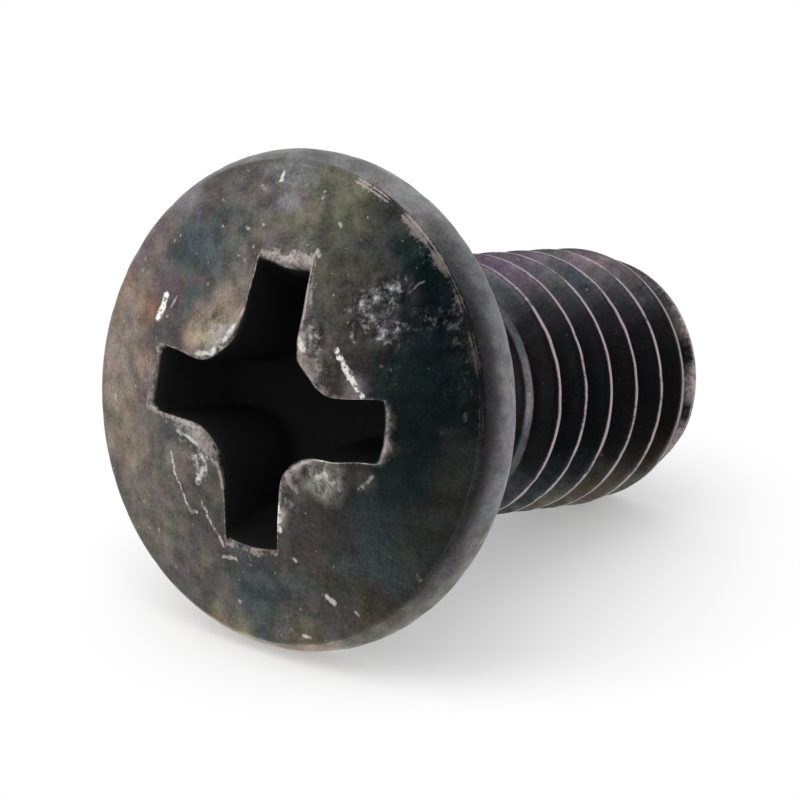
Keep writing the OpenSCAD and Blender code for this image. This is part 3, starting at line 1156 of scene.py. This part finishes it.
studio = {
    "azimuth": -51.57,         # where the camera looks from, in degrees
    "elevation": 21.79,
    "distance": 59.64,
    "aim": (-0.478, 0.189, 2.037),
    "lens": 238.9,
    "softLight": 1.0,          # strength of the light from all round
    "darkSide": 0.03,          # what polished metal sees towards the camera
    "darkFrom": 0.56,          # cosine of the angle within which it is that dark
    "lamps": {                 # place and size in millimetres, and watts
        "topLamp": ((-30, 20, 110), 110, 0.035),
        "leftLamp": ((-90, 70, 60), 90, 0.02),
    },
    "floorTone": 0.92,
    "floorGlow": 0.3,          # share of plain white in the floor under the screw
    "floorFade": (2.5, 7),     # where it starts to turn all white, and where it is
}


def viewBack():
    turn, rise = math.radians(studio["azimuth"]), math.radians(studio["elevation"])
    return Vector((math.sin(turn) * math.cos(rise), -math.cos(turn) * math.cos(rise), math.sin(rise)))


def addCamera():
    lens = bpy.data.cameras.new("photoCamera")
    lens.lens = studio["lens"]
    lens.sensor_width = 36
    lens.clip_start = 5 * mm
    lens.clip_end = 2
    camera = addObject("photoCamera", lens)
    camera.location = (Vector(studio["aim"]) + viewBack() * studio["distance"]) * mm
    camera.rotation_euler = (-viewBack()).to_track_quat("-Z", "Y").to_euler()
    bpy.context.scene.camera = camera


def addLamp(name, place, size, watts):
    light = bpy.data.lights.new(name, "AREA")
    light.shape = "DISK"
    light.size = size * mm
    light.energy = watts
    lamp = addObject(name, light)
    lamp.location = Vector(place) * mm
    lamp.rotation_euler = (-Vector(place)).to_track_quat("-Z", "Y").to_euler()


# White for the camera, a dark side towards the camera for reflections, and soft light for the rest
def addWorld():
    world = bpy.data.worlds.new("softStudio")
    bpy.context.scene.world = world
    world.use_nodes = True
    tree = world.node_tree
    background = tree.nodes["Background"]
    looking = addNode(tree, "TexCoord").outputs["Generated"]
    toward = vector(tree, "DOT_PRODUCT", looking, viewBack(), "Value")
    seen = ramp(tree, toward, 0.0, studio["darkFrom"], 1.0, studio["darkSide"])
    path = addNode(tree, "LightPath").outputs
    lit = addNode(tree, "Mix", {0: path["Is Glossy Ray"], 2: studio["softLight"], 3: seen}).outputs[0]
    strength = addNode(tree, "Mix", {0: path["Is Camera Ray"], 2: lit, 3: 1.0}).outputs[0]
    tree.links.new(strength, background.inputs["Strength"])
    background.inputs["Color"].default_value = (1, 1, 1, 1)


def addFloor():
    bm = bmesh.new()
    bmesh.ops.create_circle(bm, cap_ends=True, segments=64, radius=1.5)
    mesh = bpy.data.meshes.new("floor")
    bm.to_mesh(mesh)
    bm.free()
    floor = addObject("floor", mesh)
    material = bpy.data.materials.new("paleFloor")
    material.use_nodes = True
    tree = material.node_tree
    tree.nodes.remove(tree.nodes["Principled BSDF"])
    diffuse = addNode(tree, "BsdfDiffuse", {"Color": (*[studio["floorTone"]] * 3, 1)})
    white = addNode(tree, "Emission", {"Color": (1, 1, 1, 1), "Strength": 1.0})
    away = vector(tree, "LENGTH", addNode(tree, "TexCoord").outputs["Object"], (0, 0, 0), "Value")
    start, end = studio["floorFade"]
    share = ramp(tree, away, start * mm, end * mm, studio["floorGlow"], 1.0)
    mixed = addNode(tree, "MixShader", {0: share, 1: diffuse.outputs[0], 2: white.outputs[0]})
    tree.links.new(mixed.outputs[0], tree.nodes["Material Output"].inputs["Surface"])
    mesh.materials.append(material)
    floor.visible_glossy = False


addCamera()
for lampName, (lampPlace, lampSize, lampWatts) in studio["lamps"].items():
    addLamp(lampName, lampPlace, lampSize, lampWatts)
addWorld()
addFloor()
bpy.context.scene.view_settings.view_transform = "Standard"
print("studio ready")
